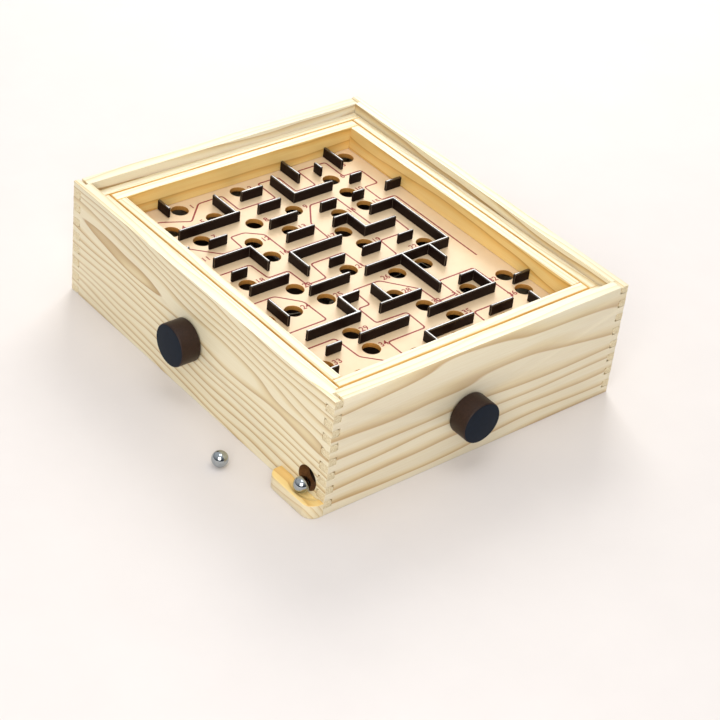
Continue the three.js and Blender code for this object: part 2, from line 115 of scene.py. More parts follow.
# The printed line from start to finish: x from the middle in mm, and the row it runs on.
ROUTE = (
    (98, -2.05), (98, 2.5), (84, 2.5), (84, 3.5), (98, 3.5), (98, 4.5), (79.5, 4.5),
    (79.5, 5.6), (51, 5.6), (51, 4.5), (31, 4.5), (31, 5.6), (10.5, 5.6), (10.5, 4.5),
    (-25.5, 4.5), (-25.5, 5.55), (-48.5, 5.55), (-68, 4.7), (-90, 5.2), (-106, 5.2),
    (-106, 3.95), (-98.5, 3.6), (-73.5, 2.45), (-55.5, 2.45), (-55, 3.2), (-42, 3.2),
    (-29.5, 2.75), (-29, 1.45), (11.5, 1.45), (12, 2.5), (28, 3.5), (53, 3.5), (53.5, 1.4),
    (75, 1.4), (74.5, 0.4), (44.5, 0.4), (43.5, -0.6), (10, -0.6), (9, 0.45), (-23.5, 0.45),
    (-24.5, -0.5), (-43, -0.5), (-44, 0.5), (-63, 0.5), (-64.5, 1.45), (-106, 1.45),
    (-106, -0.5), (-74, -0.5), (-59, -1.25), (-58, -2.45), (-106, -2.45), (-106, -3.45),
    (-68, -3.45), (-66.5, -4.65), (-55.5, -5.15), (-47, -5.55), (-37, -5.55), (-37, -4.5),
    (-1, -4.5), (-0.5, -3.5), (-29, -3.45), (-29, -2.5), (-18, -2.5), (-17.5, -1.55),
    (8, -1.55), (28.5, -2.65), (29.5, -3.55), (48, -3.5), (48, -2.6), (83.5, -2.6),
    (84.5, -4.65), (44, -4.65), (43.5, -5.2), (43.5, -5.75),
)

# Short strips that the frame leaves to this file: x and row number at both ends.
SHORT_STRIPS = (
    (-80.5, 5.4, -80.5, 5.97), (-110.4, 3, -98.5, 3), (-80, 3, -63, 3), (-91, 1, -76.3, 1),
    (-15, 0, 0, 0), (62.4, 4.97, 62.4, 5.3), (75.5, 4, 87.5, 4), (60.5, 3, 72.5, 3),
    (-87.5, -4, -73.5, -4), (-110.4, -5, -93.5, -5), (17.2, 0, 35.5, 0), (52.7, 0, 68, 0),
)


def linear(colour):
    """An sRGB hex colour as linear RGBA: the sRGB curve, a short line then a power of 2.4."""
    value = np.array([int(colour[i:i + 2], 16) for i in (1, 3, 5)]) / 255
    low, high = value / 12.92, ((value + 0.055) / 1.055) ** 2.4
    return (*np.where(value <= 0.04045, low, high).tolist(), 1.0)


# ---- Materials ----


def add_node(tree, kind, settings=None, inputs=None):
    """Adds one node, sets its properties, and feeds each input a value or an output socket."""
    node = tree.nodes.new(kind)
    for name, value in (settings or {}).items():
        setattr(node, name, value)
    for name, value in (inputs or {}).items():
        if isinstance(value, bpy.types.NodeSocket):
            tree.links.new(value, node.inputs[name])
        else:
            node.inputs[name].default_value = value
    return node


def ramp(tree, factor, stops):
    """A colour ramp with these (position, hex colour) stops."""
    node = add_node(tree, "ShaderNodeValToRGB", inputs={"Fac": factor})
    elements = node.color_ramp.elements
    while len(elements) < len(stops):
        elements.new(0.5)
    for element, (position, colour) in zip(elements, stops):
        element.position = position
        element.color = linear(colour)
    return node.outputs["Color"]


def new_material(name, **shader):
    """A material with a Principled shader whose constants are set on its own sockets."""
    material = bpy.data.materials.new(name)
    material.use_nodes = True
    tree = material.node_tree
    principled = tree.nodes["Principled BSDF"]
    for socket, value in shader.items():
        principled.inputs[socket.replace("_", " ")].default_value = value
    return material, tree, principled


def wood(name, along, pith, tilt, ring, pale, tan, dark, roughness=0.42, line=0.6):
    """Sawn and lightly varnished softwood. Growth rings run round a pith line, so a face cut
    close to it shows wide cathedral bands and a face further out shows close lines.
    pith is a point of that line, tilt its lean in degrees, ring the growth of one year."""
    material, tree, shader = new_material(name, Roughness=roughness, Coat_Weight=0.12, Coat_Roughness=0.25)
    links = tree.links
    place = add_node(tree, "ShaderNodeTexCoord")
    stretch = [1.0 / (40 * MM)] * 3
    stretch["XYZ".index(along)] = 1.0 / (230 * MM)
    slow = add_node(tree, "ShaderNodeMapping", inputs={"Vector": place.outputs["Object"], "Scale": stretch})
    drift = add_node(tree, "ShaderNodeTexNoise", inputs={
        "Vector": slow.outputs["Vector"], "Scale": 1.0, "Detail": 2.0, "Roughness": 0.45})
    centred = add_node(tree, "ShaderNodeVectorMath", {"operation": "SUBTRACT"}, {
        0: drift.outputs["Color"], 1: (0.5, 0.5, 0.5)})
    warp = add_node(tree, "ShaderNodeVectorMath", {"operation": "SCALE"}, {
        0: centred.outputs["Vector"], "Scale": 26 * MM})
    moved = add_node(tree, "ShaderNodeVectorMath", {"operation": "ADD"}, {
        0: place.outputs["Object"], 1: warp.outputs["Vector"]})
    rings = add_node(tree, "ShaderNodeMapping", {"vector_type": "TEXTURE"}, {
        "Vector": moved.outputs["Vector"], "Location": pith, "Rotation": [math.radians(a) for a in tilt]})
    wave = add_node(tree, "ShaderNodeTexWave", {
        "wave_type": "RINGS", "rings_direction": along, "wave_profile": "SAW"}, {
        "Vector": rings.outputs["Vector"], "Scale": 2 * math.pi / (20 * ring), "Distortion": 0.0})
    late = ramp(tree, wave.outputs["Fac"], (
        (0.0, pale), (0.5, pale), (0.5 + 0.4 * line, tan), (0.95, dark), (1.0, pale)))

    fine = [1.0 / (0.7 * MM)] * 3
    fine["XYZ".index(along)] = 1.0 / (35 * MM)
    fibre_map = add_node(tree, "ShaderNodeMapping", inputs={"Vector": place.outputs["Object"], "Scale": fine})
    fibre = add_node(tree, "ShaderNodeTexNoise", inputs={
        "Vector": fibre_map.outputs["Vector"], "Scale": 1.0, "Detail": 3.0, "Roughness": 0.6})
    streak = add_node(tree, "ShaderNodeMapRange", inputs={
        "Value": fibre.outputs["Fac"], "From Min": 0.35, "From Max": 0.7, "To Min": 0.0, "To Max": 0.22})
    shade = add_node(tree, "ShaderNodeMix", {"data_type": "RGBA", "blend_type": "MULTIPLY"})
    links.new(streak.outputs["Result"], shade.inputs["Factor"])
    links.new(late, shade.inputs[6])
    shade.inputs[7].default_value = linear(tan)
    patch = add_node(tree, "ShaderNodeTexNoise", inputs={
        "Vector": slow.outputs["Vector"], "Scale": 0.6, "Detail": 1.0})
    blotch = add_node(tree, "ShaderNodeMapRange", inputs={
        "Value": patch.outputs["Fac"], "From Min": 0.35, "From Max": 0.75, "To Min": 0.0, "To Max": 0.35})
    tint = add_node(tree, "ShaderNodeMix", {"data_type": "RGBA", "blend_type": "MIX"})
    links.new(blotch.outputs["Result"], tint.inputs["Factor"])
    links.new(shade.outputs[2], tint.inputs[6])
    tint.inputs[7].default_value = linear(pale)
    links.new(tint.outputs[2], shader.inputs["Base Color"])
    bump = add_node(tree, "ShaderNodeBump", inputs={
        "Height": fibre.outputs["Fac"], "Strength": 0.12, "Distance": 0.15 * MM})
    links.new(bump.outputs["Normal"], shader.inputs["Normal"])
    return material


def end_grain(name, pale, dark):
    """Sawn end grain: fine dots, a little darker and rougher than the face."""
    material, tree, shader = new_material(name, Roughness=0.6)
    place = add_node(tree, "ShaderNodeTexCoord")
    dots = add_node(tree, "ShaderNodeTexNoise", inputs={
        "Vector": place.outputs["Object"], "Scale": 1.0 / (0.9 * MM), "Detail": 3.0})
    tree.links.new(ramp(tree, dots.outputs["Fac"], ((0.35, dark), (0.65, pale))), shader.inputs["Base Color"])
    return material


def speckled(name, pale, dark, grit, roughness, amount=0.5, bump=0.0, **shader_values):
    """A plain finish with a fine two-colour mottle of the given grit, and an optional bump."""
    material, tree, shader = new_material(name, Roughness=roughness, **shader_values)
    place = add_node(tree, "ShaderNodeTexCoord")
    mottle = add_node(tree, "ShaderNodeTexNoise", inputs={
        "Vector": place.outputs["Object"], "Scale": 1.0 / grit, "Detail": 4.0, "Roughness": 0.6})
    spread = 0.5 * amount
    stops = ((0.5 - spread, dark), (0.5 + spread, pale))
    tree.links.new(ramp(tree, mottle.outputs["Fac"], stops), shader.inputs["Base Color"])
    if bump:
        height = add_node(tree, "ShaderNodeBump", inputs={
            "Height": mottle.outputs["Fac"], "Strength": 0.3, "Distance": bump})
        tree.links.new(height.outputs["Normal"], shader.inputs["Normal"])
    return material


def drawn_steel(name, bright, dull, roughness):
    """Drawn steel wire or rod: grey metal with faint cloudy roughness."""
    material, tree, shader = new_material(name, Metallic=1.0)
    place = add_node(tree, "ShaderNodeTexCoord")
    cloud = add_node(tree, "ShaderNodeTexNoise", inputs={
        "Vector": place.outputs["Object"], "Scale": 1.0 / (2 * MM), "Detail": 3.0})
    grey = ramp(tree, cloud.outputs["Fac"], ((0.3, dull), (0.7, bright)))
    tree.links.new(grey, shader.inputs["Base Color"])
    rough = add_node(tree, "ShaderNodeMapRange", inputs={
        "Value": cloud.outputs["Fac"], "To Min": roughness * 0.8, "To Max": roughness * 1.25})
    tree.links.new(rough.outputs["Result"], shader.inputs["Roughness"])
    return material


def make_materials():
    """Every finish on the game, by a short name."""
    low, high, mid = BOX_LOW, BOX_HIGH, CENTRE
    finishes = {
        # Sawn pine boards with clear satin varnish: pale early wood and thin late-wood lines.
        "side": wood("clear varnished pine side", "Y", (low.x - 24 * MM, mid.y, 62 * MM), (2.2, 0, 0),
                     5.2 * MM, "#f0e5c6", "#e1cd9f", "#b7925a"),
        "front": wood("clear varnished pine front", "X", (mid.x, low.y - 60 * MM, 112 * MM), (0, 0.8, 0),
                      11 * MM, "#f0e5c9", "#e6d2a6", "#c39d64"),
        "far_side": wood("clear varnished pine far side", "Y", (high.x + 22 * MM, mid.y, 35 * MM),
                         (1.4, 0, 0), 6.5 * MM, "#f0e5c6", "#e1cd9f", "#b7925a"),
        "back": wood("clear varnished pine back", "X", (mid.x, high.y + 45 * MM, 20 * MM), (0, 1.2, 0),
                     9 * MM, "#f0e5c9", "#e6d2a6", "#c39d64"),
        # Planed edges and rails: close straight grain. On the rails, the pale tops beside golden sides are
        # painted light: the tops a painted lit tone, the sides painted shade.
        "edge_x": wood("planed pine edge across", "X", (mid.x, low.y - 90 * MM, 40 * MM), (0, 0, 0.5),
                       5 * MM, "#ece1c3", "#e4d3a8", "#d2b87e", 0.45, 0.8),
        "edge_y": wood("planed pine edge along", "Y", (low.x - 90 * MM, mid.y, 40 * MM), (0, 0, 0.5),
                       5 * MM, "#ece1c3", "#e4d3a8", "#d2b87e", 0.45, 0.8),
        # Rail sides: golden as painted shade and painted bounced light, darker than the pale rail tops.
        "rail_x": wood("beech rail sides in painted golden shade across", "X", (mid.x, mid.y, -60 * MM), (0, 0.6, 0),
                       7 * MM, "#f6d68c", "#ebbe68", "#cb963e", 0.36, 0.8),
        "rail_y": wood("beech rail sides in painted golden shade along", "Y", (mid.x, mid.y, -60 * MM), (0.6, 0, 0),
                       7 * MM, "#f6d68c", "#ebbe68", "#cb963e", 0.36, 0.8),
        "tray": wood("amber varnished pine", "Y", (low.x - 6 * MM, mid.y, -14 * MM), (1.2, 0, 0),
                     4.5 * MM, "#f7da94", "#efca80", "#dcae62", 0.3),
        "tray_side": wood("pale sawn pine", "Y", (low.x - 40 * MM, mid.y, -14 * MM), (1.2, 0, 0),
                          4 * MM, "#f1e3c0", "#e9d7ac", "#d6b984"),
        # Fingers show their sawn ends in the corner joints.
        "end": end_grain("sawn pine end grain", "#efe2c0", "#d6c297"),
        # Drilled holes get darker finishes than the faces round them; the exit hole's bore is painted shade.
        "bore": speckled("drill hole darkened as painted shade", "#9a6a3c", "#6a4426", 1.5 * MM, 0.5),
        "hole": speckled("amber drill hole wall", "#d39b50", "#a97230", 1.2 * MM, 0.4),
        # Thin birch ply with a printed, lacquered face.
        "board": speckled("lacquered birch ply", "#ead0ac", "#e3c69e", 9 * MM, 0.5, 0.8),
        "print": speckled("dusty red ink", "#982822", "#841f1a", 2 * MM, 0.6),
        "digits": speckled("red brown ink", "#a0322a", "#8b2820", 2 * MM, 0.6),
        # Stained hardwood strips: the matt sides look nearly black, and the rounded edges, where
        # the lacquer gathers, carry a bright line.
        "strip": speckled("chocolate stained hardwood", "#22130e", "#170c08", 3 * MM, 0.55, 0.7,
                          Specular_IOR_Level=0.1),
        "strip_edge": speckled("gathered gloss lacquer", "#22130e", "#1a0d09", 3 * MM, 0.24, 0.7,
                               Coat_Weight=1.0, Coat_Roughness=0.16, Coat_IOR=1.65),
        "barrel": speckled("stained beech turning", "#342017", "#20120c", 1.5 * MM, 0.45, 0.6, 0.05 * MM,
                           Specular_IOR_Level=0.3),
        "face": speckled("blue-black satin paint", "#0f1c2c", "#0b1520", 4 * MM, 0.5, 0.8,
                         Specular_IOR_Level=0.12),
        "steel": drawn_steel("drawn steel", "#c9cbce", "#96999d", 0.3),
        "ball": drawn_steel("polished bearing steel", "#b7bec2", "#a5adb2", 0.06),
        # The sloping floor is made dark as painted shade, so the ball holes read black inside.
        "floor_panel": speckled("hardboard darkened as painted shade", "#4e3521", "#3a2616", 1.2 * MM, 0.85, 0.7, 0.1 * MM),
        "cord": speckled("waxed braided cord", "#e2dac6", "#b9ae94", 0.5 * MM, 0.8, 0.6, 0.1 * MM),
        "table": speckled("plain pale table", "#e2dcd9", "#dfd9d6", 60 * MM, 0.75),
    }
    return finishes


def finish(key):
    """The material made for one of the finishes."""
    if not FINISHES:
        FINISHES.update(make_materials())
    return FINISHES[key]


FINISHES = {}


# ---- Meshes ----


def make_object(name, points, faces, materials, smooth=True):
    """An object at the origin from arrays of points and faces."""
    mesh = bpy.data.meshes.new(name)
    mesh.from_pydata(np.asarray(points, float).tolist(), [], np.asarray(faces).tolist())
    mesh.polygons.foreach_set("use_smooth", np.full(len(mesh.polygons), smooth))
    piece = bpy.data.objects.new(name, mesh)
    bpy.context.scene.collection.objects.link(piece)
    for key in materials:
        mesh.materials.append(finish(key))
    mesh.update()
    return piece


def grid_faces(rows, columns):
    """Quads of a grid whose columns close on themselves. Row i, column j is point i * columns + j."""
    i, j = np.meshgrid(np.arange(rows - 1), np.arange(columns), indexing="ij")
    here, below, right = i * columns, (i + 1) * columns, (j + 1) % columns
    return np.stack([here + j, here + right, below + right, below + j], -1).reshape(-1, 4)


def weld(piece, distance=1e-7):
    """Merges coincident points and points every face outwards."""
    work = bmesh.new()
    work.from_mesh(piece.data)
    bmesh.ops.remove_doubles(work, verts=work.verts, dist=distance)
    bmesh.ops.dissolve_degenerate(work, edges=work.edges, dist=distance)
    bmesh.ops.recalc_face_normals(work, faces=work.faces)
    work.to_mesh(piece.data)
    work.free()
    return piece


def turned(name, profile, centre, axis, materials, sides=96):
    """A surface of revolution: each profile point (radius, height along the axis) sweeps a
    circle, radius times cosine and sine of the angle across the axis."""
    radius, along = np.asarray(profile, float).T
    angle = np.linspace(0, 2 * math.pi, sides, endpoint=False)
    first, second, third = (radius[:, None] * np.cos(angle), radius[:, None] * np.sin(angle),
                            np.repeat(along[:, None], sides, 1))
    order = {"X": (third, first, second), "Y": (second, third, first), "Z": (first, second, third)}[axis]
    points = np.stack(order, -1).reshape(-1, 3) + np.array(centre)
    piece = make_object(name, points, grid_faces(len(radius), sides), materials)
    return weld(piece)


def arc(centre, radius, start, end, steps):
    """Points on a circle from one angle to another, in degrees."""
    angle = np.radians(np.linspace(start, end, steps))
    return np.stack([centre[0] + radius * np.cos(angle), centre[1] + radius * np.sin(angle)], -1)


def tube(name, path, radius, across, material, sides=10):
    """A round tube: circles of the radius stand square to the path. 'across' is a direction that
    the path never takes; its part square to the path, and their product, carry the circle."""
    path = np.asarray(path, float)
    heading = np.gradient(path, axis=0)
    heading /= np.linalg.norm(heading, axis=1, keepdims=True)
    first = np.asarray(across, float) - heading * (heading @ np.asarray(across, float))[:, None]
    first /= np.linalg.norm(first, axis=1, keepdims=True)
    second = np.cross(heading, first)
    angle = np.linspace(0, 2 * math.pi, sides, endpoint=False)
    ring = np.cos(angle)[None, :, None] * first[:, None] + np.sin(angle)[None, :, None] * second[:, None]
    scale = np.full(len(path), radius)
    scale[[0, -1]] = 0.0
    points = path[:, None] + ring * scale[:, None, None]
    piece = make_object(name, points.reshape(-1, 3), grid_faces(len(path), sides), (material,))
    return weld(piece)


def rounded_bar(name, low, high, radius, materials, steps=4):
    """A bar with rounded edges: a sphere of the radius whose eight octants are moved apart to
    the bar's corners. A point is corner + radius * direction, with the corner from its signs."""
    low, high = np.asarray(low, float), np.asarray(high, float)
    quarter = np.linspace(0, math.pi / 2, steps + 1)
    turn = np.concatenate([q * math.pi / 2 + quarter for q in range(4)])
    east = np.repeat([1, -1, -1, 1], steps + 1)
    north = np.repeat([1, 1, -1, -1], steps + 1)
    rise = np.concatenate([quarter - math.pi / 2, quarter])
    top = np.repeat([-1, 1], steps + 1)
    direction = np.stack(np.broadcast_arrays(
        np.cos(rise)[:, None] * np.cos(turn), np.cos(rise)[:, None] * np.sin(turn),
        np.sin(rise)[:, None]), -1)
    sign = np.stack(np.broadcast_arrays(east[None, :], north[None, :], top[:, None]), -1)
    half = (high - low) / 2 - radius
    points = (low + high) / 2 + sign * half + radius * direction
    columns = len(turn)
    faces = grid_faces(len(rise), columns).tolist()
    caps = [list(range(columns))[::-1], list(range((len(rise) - 1) * columns, len(rise) * columns))]
    piece = make_object(name, points.reshape(-1, 3), faces, materials)
    work = bmesh.new()
    work.from_mesh(piece.data)
    work.verts.ensure_lookup_table()
    for cap in caps:
        work.faces.new([work.verts[i] for i in cap]).smooth = True
    bmesh.ops.remove_doubles(work, verts=work.verts, dist=1e-7)
    bmesh.ops.recalc_face_normals(work, faces=work.faces)
    work.to_mesh(piece.data)
    work.free()
    return piece


def eased_copy(node, materials, weight, width, segments=3):
    """A copy of a frame node with its flat faces whole again and its sharp edges rounded over.
    weight(points) gives each edge middle's share of the full rounding width, from 0 to 1."""
    name = f"{node}_finished"
    mesh = NODES[node].data.copy()
    mesh.name = name
    mesh.materials.clear()
    work = bmesh.new()
    work.from_mesh(mesh)
    bmesh.ops.remove_doubles(work, verts=work.verts, dist=2e-6)
    bmesh.ops.dissolve_limit(work, angle_limit=math.radians(1.5), verts=work.verts, edges=work.edges)
    work.to_mesh(mesh)
    work.free()
    piece = bpy.data.objects.new(name, mesh)
    bpy.context.scene.collection.objects.link(piece)
    for key in materials:
        mesh.materials.append(finish(key))
    mesh.polygons.foreach_set("use_smooth", np.ones(len(mesh.polygons), bool))

    middle = mesh_points(mesh)[edge_ends(mesh)].mean(1)
    sharp = edge_angles(mesh) > math.radians(35)
    share = np.clip(weight(middle), 0, 1) * sharp
    attribute = mesh.attributes.new("bevel_weight_edge", "FLOAT", "EDGE")
    attribute.data.foreach_set("value", share.astype(np.float32))
    bevel = piece.modifiers.new("eased edges", "BEVEL")
    bevel.limit_method = "WEIGHT"
    bevel.width = width
    bevel.segments = segments
    bevel.use_clamp_overlap = True
    bevel.harden_normals = True
    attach(piece, NODES[node]["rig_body"])
    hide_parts(node)
    return piece


def mesh_points(mesh):
    """The mesh's points as an array of (x, y, z)."""
    points = np.empty(len(mesh.vertices) * 3)
    mesh.vertices.foreach_get("co", points)
    return points.reshape(-1, 3)


def edge_ends(mesh):
    """The two point numbers of each edge, as an array."""
    ends = np.empty(len(mesh.edges) * 2, int)
    mesh.edges.foreach_get("vertices", ends)
    return ends.reshape(-1, 2)


def mesh_of(curve):
    """A flat curve or a text as a mesh at the origin."""
    carrier = bpy.data.objects.new(curve.name, curve)
    bpy.context.scene.collection.objects.link(carrier)
    bpy.context.view_layer.update()
    mesh = bpy.data.meshes.new_from_object(carrier.evaluated_get(bpy.context.evaluated_depsgraph_get()))
    bpy.data.objects.remove(carrier)
    return mesh


def edge_angles(mesh):
    """The angle between the two faces on each edge, from their normals."""
    work = bmesh.new()
    work.from_mesh(mesh)
    angles = np.array([edge.calc_face_angle(0.0) for edge in work.edges])
    work.free()
    return angles


def face_data(mesh):
    """Each face's centre and normal, as arrays."""
    centre = np.empty(len(mesh.polygons) * 3)
    normal = np.empty(len(mesh.polygons) * 3)
    mesh.polygons.foreach_get("center", centre)
    mesh.polygons.foreach_get("normal", normal)
    return centre.reshape(-1, 3), normal.reshape(-1, 3)


def paint_faces(piece, index, chosen):
    """Gives the chosen faces the piece's material at that index."""
    current = np.empty(len(piece.data.polygons), int)
    piece.data.polygons.foreach_get("material_index", current)
    current[chosen] = index
    piece.data.polygons.foreach_set("material_index", current)


# ---- Settings ----


def length_setting(name, description, default):
    """A length that the sidebar shows in the scene's units."""
    return bpy.props.FloatProperty(
        name=name, description=description, default=default, subtype="DISTANCE", unit="LENGTH")


class TiltMazeSizes(bpy.types.PropertyGroup):
    """Sizes that only the finish uses: the frame sets every other size."""

    wall_edge: length_setting("Wall edge", "Rounding of the box's top edges and corners", 1.1 * MM)
    rail_edge: length_setting("Rail edge", "Rounding of the tilting frames' edges", 0.7 * MM)
    strip_edge: length_setting("Strip edge", "Rounding of the maze strips' edges", 0.85 * MM)
    strip_width: length_setting("Strip width", "Thickness of a maze strip", 2.4 * MM)
    hole_radius: length_setting("Ball hole radius", "Radius of a hole in the maze board", 7 * MM)
    line_width: length_setting("Route width", "Width of the printed route line", 1.4 * MM)
    line_corner: length_setting("Route corner", "Corner radius of the printed route line", 2.6 * MM)
    digit_height: length_setting("Number height", "Height of the printed hole numbers", 5.6 * MM)
    cord_radius: length_setting("Cord radius", "Radius of the drive cords", 0.5 * MM)


def hole_centres():
    """(x, y) of every ball hole in the frame, as an array."""
    return np.array([(CENTRE.x + x * MM, CENTRE.y + row * ROW + HOLE_LIFT)
                     for row, *columns in HOLE_ROWS for x in columns])


# ---- Operators ----


class TILTMAZE_OT_box(bpy.types.Operator):
    """Add the four box walls with eased edges, sawn finger ends and the drilled exit"""

    bl_idname = "tiltmaze.box"
    bl_label = "Box Walls"

    def execute(self, context):
        sizes = context.scene.tilt_maze
        face = {"front_wall": "front", "back_wall": "back", "left_wall": "side", "right_wall": "far_side"}
        exit_height, exit_reach = 20.3 * MM, 10.5 * MM
        for node in WALLS:
            across = node in ("front_wall", "back_wall")
            keys = (face[node], "end", "bore", "edge_x" if across else "edge_y")
            piece = eased_copy(node, keys, self.weight, sizes.wall_edge)
            centre, normal = face_data(piece.data)
            own = 0 if across else 1
            outside = np.abs(normal[:, own]) > 0.9
            at_end = outside & (np.abs(centre[:, own] - CENTRE[own]) > (BOX_HIGH - CENTRE)[own] - 1 * MM)
            paint_faces(piece, 1, at_end)
            paint_faces(piece, 3, normal[:, 2] > 0.9)
            if node == "left_wall":
                ball_low, ball_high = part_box("steel_ball_tray")
                exit_y = (ball_low.y + ball_high.y) / 2
                # The exit hole's bore faces take the darker finish: painted shade inside the hole.
                near = np.hypot(centre[:, 1] - exit_y, centre[:, 2] - exit_height) < exit_reach
                paint_faces(piece, 2, near & (np.abs(normal[:, 0]) < 0.5))
        return {"FINISHED"}

    @staticmethod
    def weight(middle):
        """Full rounding on the top and the four corners, and a thin ease on every finger."""
        low, high, near = np.array(BOX_LOW), np.array(BOX_HIGH), 0.3 * MM
        outer_x = np.minimum(middle[:, 0] - low[0], high[0] - middle[:, 0]) < near
        outer_y = np.minimum(middle[:, 1] - low[1], high[1] - middle[:, 1]) < near
        top = middle[:, 2] > high[2] - near
        return np.where(outer_x & outer_y, 1.0, np.where(top, 0.8, 0.22))


class TILTMAZE_OT_tray(bpy.types.Operator):
    """Add the catch tray and finish the sloping floor"""

    bl_idname = "tiltmaze.tray"
    bl_label = "Tray and Floor"

    def execute(self, context):
        self.tray()
        # The floor takes the dark finish: painted shade under the board's ball holes.
        floor = eased_copy("sloping_floor", ("floor_panel",), lambda middle: np.ones(len(middle)), 0.3 * MM)
        return {"FINISHED"}

    @staticmethod
    def tray():
        """The tray is a cross-section carried along the wall. The section goes up the wall, out
        over the dished top, round an eased edge and down the side. Its width follows a quarter
        circle at both ends, and each end closes on the middle of its section. The dish is a
        smooth step of the distance from the ball, measured as on an ellipse."""
        low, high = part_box("catch_tray")
        ball_low, ball_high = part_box("steel_ball_tray")
        dish_y = (ball_low.y + ball_high.y) / 2
        corner, ease, foot = 9 * MM, 1.1 * MM, 0.5 * MM
        dish_reach, dish_half, dish_depth, dish_wall = 11 * MM, 17 * MM, 2 * MM, 0.4

        sections, across = 121, 27
        y = low.y + (high.y - low.y) * (1 - np.cos(np.linspace(0, math.pi, sections))) / 2
        end = np.minimum(y - low.y, high.y - y)
        wide = high.x - low.x - corner + np.sqrt(corner ** 2 - np.maximum(corner - end, 0) ** 2)
        end_drop = ease - np.sqrt(ease ** 2 - np.maximum(ease - end, 0) ** 2)
        angle = np.radians(np.linspace(0, 90, 7))[1:]
        flat = np.linspace(0, 1, across)[:, None] * (wide - ease)
        bend = wide - ease + ease * np.sin(angle)[:, None]
        out = np.concatenate([0 * wide[None], flat, bend, wide[None], wide[None] - foot])
        drop = np.concatenate([np.zeros(across), ease * (1 - np.cos(angle))])[:, None]
        distance = np.hypot(out[1:-2] / dish_reach, (y - dish_y) / dish_half)
        share = np.clip((1 - distance) / dish_wall, 0, 1)
        top = high.z - drop - end_drop - dish_depth * share ** 2 * (3 - 2 * share)
        height = np.concatenate([0 * wide[None], top, 0 * wide[None] + foot, 0 * wide[None]])
        section = np.stack([high.x - out, np.broadcast_to(y, out.shape), height], -1).transpose(1, 0, 2)
        points = np.concatenate([section[:1], section, section[-1:]])
        points[[0, -1]] = points[[0, -1]].mean(1, keepdims=True)
        rows, columns = points.shape[:2]
        piece = make_object("catch_tray_dished", points.reshape(-1, 3), grid_faces(rows, columns),
                            ("tray", "tray_side"))
        weld(piece, 1e-6)
        paint_faces(piece, 1, face_data(piece.data)[1][:, 2] < 0.5)
        TILTMAZE_OT_knobs.sharpen(piece)
        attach(piece, "box")
        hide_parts("catch_tray")


class TILTMAZE_OT_frames(bpy.types.Operator):
    """Add the rails of both tilting frames"""

    bl_idname = "tiltmaze.frames"
    bl_label = "Tilting Frames"

    def execute(self, context):
        sizes = context.scene.tilt_maze
        for ring in ("outer", "inner"):
            for side in ("front", "back", "left", "right"):
                node = f"{ring}_rail_{side}"
                keys = ("rail_x", "edge_x") if side in ("front", "back") else ("rail_y", "edge_y")
                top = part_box(node)[1].z

                def weight(middle, top=top):
                    """Full rounding along the top, and a thin ease elsewhere."""
                    return np.where(middle[:, 2] > top - 0.3 * MM, 1.0, 0.3)

                piece = eased_copy(node, keys, weight, sizes.rail_edge)
                # Tops take the pale edge finish, sides the golden one: a painted lit top over painted shade
                # on the sides.
                paint_faces(piece, 1, face_data(piece.data)[1][:, 2] > 0.9)
        return {"FINISHED"}


class TILTMAZE_OT_board(bpy.types.Operator):
    """Add the maze board with its drilled ball holes"""

    bl_idname = "tiltmaze.board"
    bl_label = "Maze Board"

    def execute(self, context):
        sizes = context.scene.tilt_maze
        ease = 0.35 * MM
        corners = np.array([(BOARD_LOW.x, BOARD_LOW.y), (BOARD_HIGH.x, BOARD_LOW.y),
                            (BOARD_HIGH.x, BOARD_HIGH.y), (BOARD_LOW.x, BOARD_HIGH.y)])
        inset = np.array([(1, 1), (-1, 1), (-1, -1), (1, -1)]) * ease
        loops = [corners + inset]
        loops += [arc(hole, sizes.hole_radius + ease, 360, 7.5, 48) for hole in hole_centres()]
        outline = bpy.data.curves.new("maze_board_outline", "CURVE")
        outline.dimensions = "2D"
        outline.fill_mode = "BOTH"
        outline.extrude = (BOARD_HIGH.z - BOARD_LOW.z) / 2 - ease
        outline.bevel_depth = ease
        outline.bevel_resolution = 2
        for loop in loops:
            spline = outline.splines.new("POLY")
            spline.points.add(len(loop) - 1)
            flat = np.column_stack([loop, np.zeros(len(loop)), np.ones(len(loop))])
            spline.points.foreach_set("co", flat.ravel())
            spline.use_cyclic_u = True
        mesh = mesh_of(outline)
        points = mesh_points(mesh)
        points[:, 2] += (BOARD_HIGH.z + BOARD_LOW.z) / 2
        mesh.vertices.foreach_set("co", points.ravel())
        mesh.name = "maze_board_drilled"
        piece = bpy.data.objects.new("maze_board_drilled", mesh)
        bpy.context.scene.collection.objects.link(piece)
        mesh.materials.clear()
        for key in ("board", "hole"):
            mesh.materials.append(finish(key))
        weld(piece, 1e-6)
        centre, normal = face_data(mesh)
        rim = 1 * MM
        inside = ((centre[:, 0] > BOARD_LOW.x + rim) & (centre[:, 0] < BOARD_HIGH.x - rim)
                  & (centre[:, 1] > BOARD_LOW.y + rim) & (centre[:, 1] < BOARD_HIGH.y - rim))
        mesh.polygons.foreach_set("material_index", np.zeros(len(mesh.polygons), int))
        paint_faces(piece, 1, inside & (np.abs(normal[:, 2]) < 0.75))
        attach(piece, "inner_frame")
        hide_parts("maze_board")
        return {"FINISHED"}


